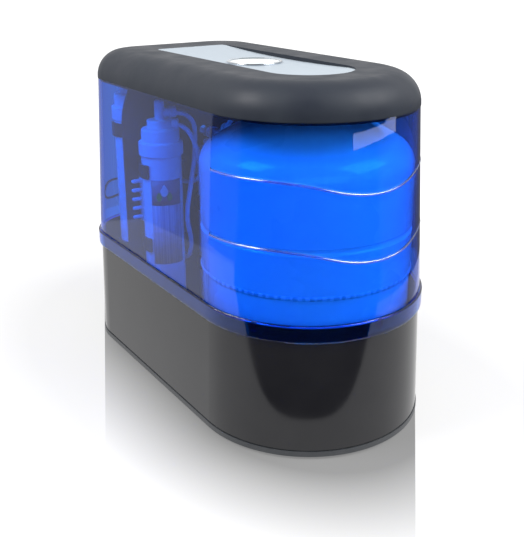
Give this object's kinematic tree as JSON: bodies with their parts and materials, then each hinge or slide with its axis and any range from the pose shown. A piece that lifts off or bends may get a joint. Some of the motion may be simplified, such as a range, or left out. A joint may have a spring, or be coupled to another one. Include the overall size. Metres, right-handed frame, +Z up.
{
  "type": "water purifier",
  "caption": "Under-sink water purifier in a long upright case: dark lower shell, clear blue cover, dark lid with a silver panel, storage tank and filters inside.",
  "frame": {"origin": "middle of the case's outline at the floor, under the feet", "axes": "+Z up, -Y towards the rounded nose with the tank, +Y towards the back with the ports"},
  "size_m": [0.272, 0.5019, 0.402],
  "materials": {
    "clear_blue": "clear tinted plastic, gloss",
    "shell_grey": "smooth gloss",
    "lid_grey": "smooth gloss",
    "panel_silver": "silver lacquer",
    "badge_pearl": "clear dome",
    "bright_trim": "bright",
    "tank_white": "powder coat",
    "filter_white": "smooth",
    "head_white": "smooth",
    "fitting_white": "smooth",
    "tube_white": "satin",
    "clip_black": "satin",
    "chassis_grey": "powder coat",
    "base_dark": "fine grain",
    "rubber_black": "matte",
    "steel": "turned",
    "brass": "turned",
    "motor_steel": "satin paint",
    "magnet": "dull",
    "carbon": "porous block",
    "handle_blue": "smooth",
    "collet_blue": "smooth"
  },
  "bodies": {
    "base": {"base_plate": "base_dark", "rubber_feet": "rubber_black", "case_screws": "steel", "lower_shell": "shell_grey", "rim_seal": "rubber_black", "tank_upper_shell": "tank_white", "tank_lower_shell": "tank_white", "tank_weld_bead": "tank_white", "tank_bladder": "rubber_black", "tank_air_valve": "brass", "tank_cradle": "clip_black", "tank_neck": "steel", "tank_valve_body": "head_white", "chassis_plate": "chassis_grey", "tube_comb": "fitting_white", "filter_clips": "clip_black", "push_fit_fittings": "fitting_white", "tank_tee": "fitting_white", "bulkhead_ports": "fitting_white", "bulkhead_nuts": "fitting_white", "power_jack": "clip_black", "pump_motor_can": "motor_steel", "pump_bearings": "steel", "pump_magnets": "magnet", "pump_head": "clip_black", "pump_bands": "clip_black", "inlet_valve": "fitting_white", "inlet_valve_coil": "clip_black", "inlet_tube": "tube_white", "first_filter_tube": "tube_white", "second_filter_tube": "tube_white", "pump_feed_tube": "tube_white", "membrane_feed_tube": "tube_white", "tank_tube": "tube_white", "product_tube": "tube_white", "drain_tube": "tube_white", "power_lead": "rubber_black", "filter_head_a": "head_white", "filter_head_b": "head_white", "filter_head_c": "head_white", "filter_cartridge_c": "filter_white", "filter_media_c": "carbon", "filter_head_d": "head_white"},
    "cover": {"transparent_cover": "clear_blue"},
    "lid": {"top_lid": "lid_grey", "lid_panel": "panel_silver", "badge_ring": "bright_trim", "badge_dome": "badge_pearl"},
    "tank_valve_handle": {"tank_valve_ball": "brass", "tank_valve_lever": "handle_blue"},
    "cartridge_a": {"filter_cartridge_a": "filter_white", "filter_media_a": "carbon"},
    "cartridge_b": {"filter_cartridge_b": "filter_white", "filter_media_b": "carbon"},
    "cartridge_d": {"filter_cartridge_d": "filter_white", "filter_media_d": "carbon"},
    "pump_shaft": {"pump_rotor": "steel"},
    "feed_release": {"feed_collet": "collet_blue"},
    "drain_release": {"drain_collet": "collet_blue"},
    "product_release": {"product_collet": "collet_blue"}
  },
  "joints": [
    {"name": "cover_lift", "type": "slide", "parent": "base", "child": "cover", "axis": [0, 0, 1], "range_m": [0, 0.255]},
    {"name": "lid_lift", "type": "slide", "parent": "cover", "child": "lid", "axis": [0, 0, 1], "range_m": [0, 0.06]},
    {"name": "tank_valve_turn", "type": "hinge", "parent": "base", "child": "tank_valve_handle", "pos_m": [0, -0.115, 0.37], "axis": [0, 0, 1], "range_deg": [0, 90]},
    {"name": "cartridge_a_turn", "type": "hinge", "parent": "base", "child": "cartridge_a", "pos_m": [-0.0675, 0.115, 0.15], "axis": [0, 0, 1], "range_deg": [0, 90]},
    {"name": "cartridge_b_turn", "type": "hinge", "parent": "base", "child": "cartridge_b", "pos_m": [-0.0705, 0.1895, 0.2], "axis": [0, 0, 1], "range_deg": [0, 90]},
    {"name": "cartridge_d_turn", "type": "hinge", "parent": "base", "child": "cartridge_d", "pos_m": [0.079, 0.115, 0.15], "axis": [0, 0, 1], "range_deg": [0, 90]},
    {"name": "pump_spin", "type": "hinge", "parent": "base", "child": "pump_shaft", "pos_m": [0.062, 0.192, 0.06], "axis": [0, 0, 1], "continuous": true},
    {"name": "feed_release_push", "type": "slide", "parent": "base", "child": "feed_release", "axis": [0, -1, 0], "range_m": [0, 0.0015]},
    {"name": "drain_release_push", "type": "slide", "parent": "base", "child": "drain_release", "axis": [0, -1, 0], "range_m": [0, 0.0015]},
    {"name": "product_release_push", "type": "slide", "parent": "base", "child": "product_release", "axis": [0, -1, 0], "range_m": [0, 0.0015]}
  ]
}
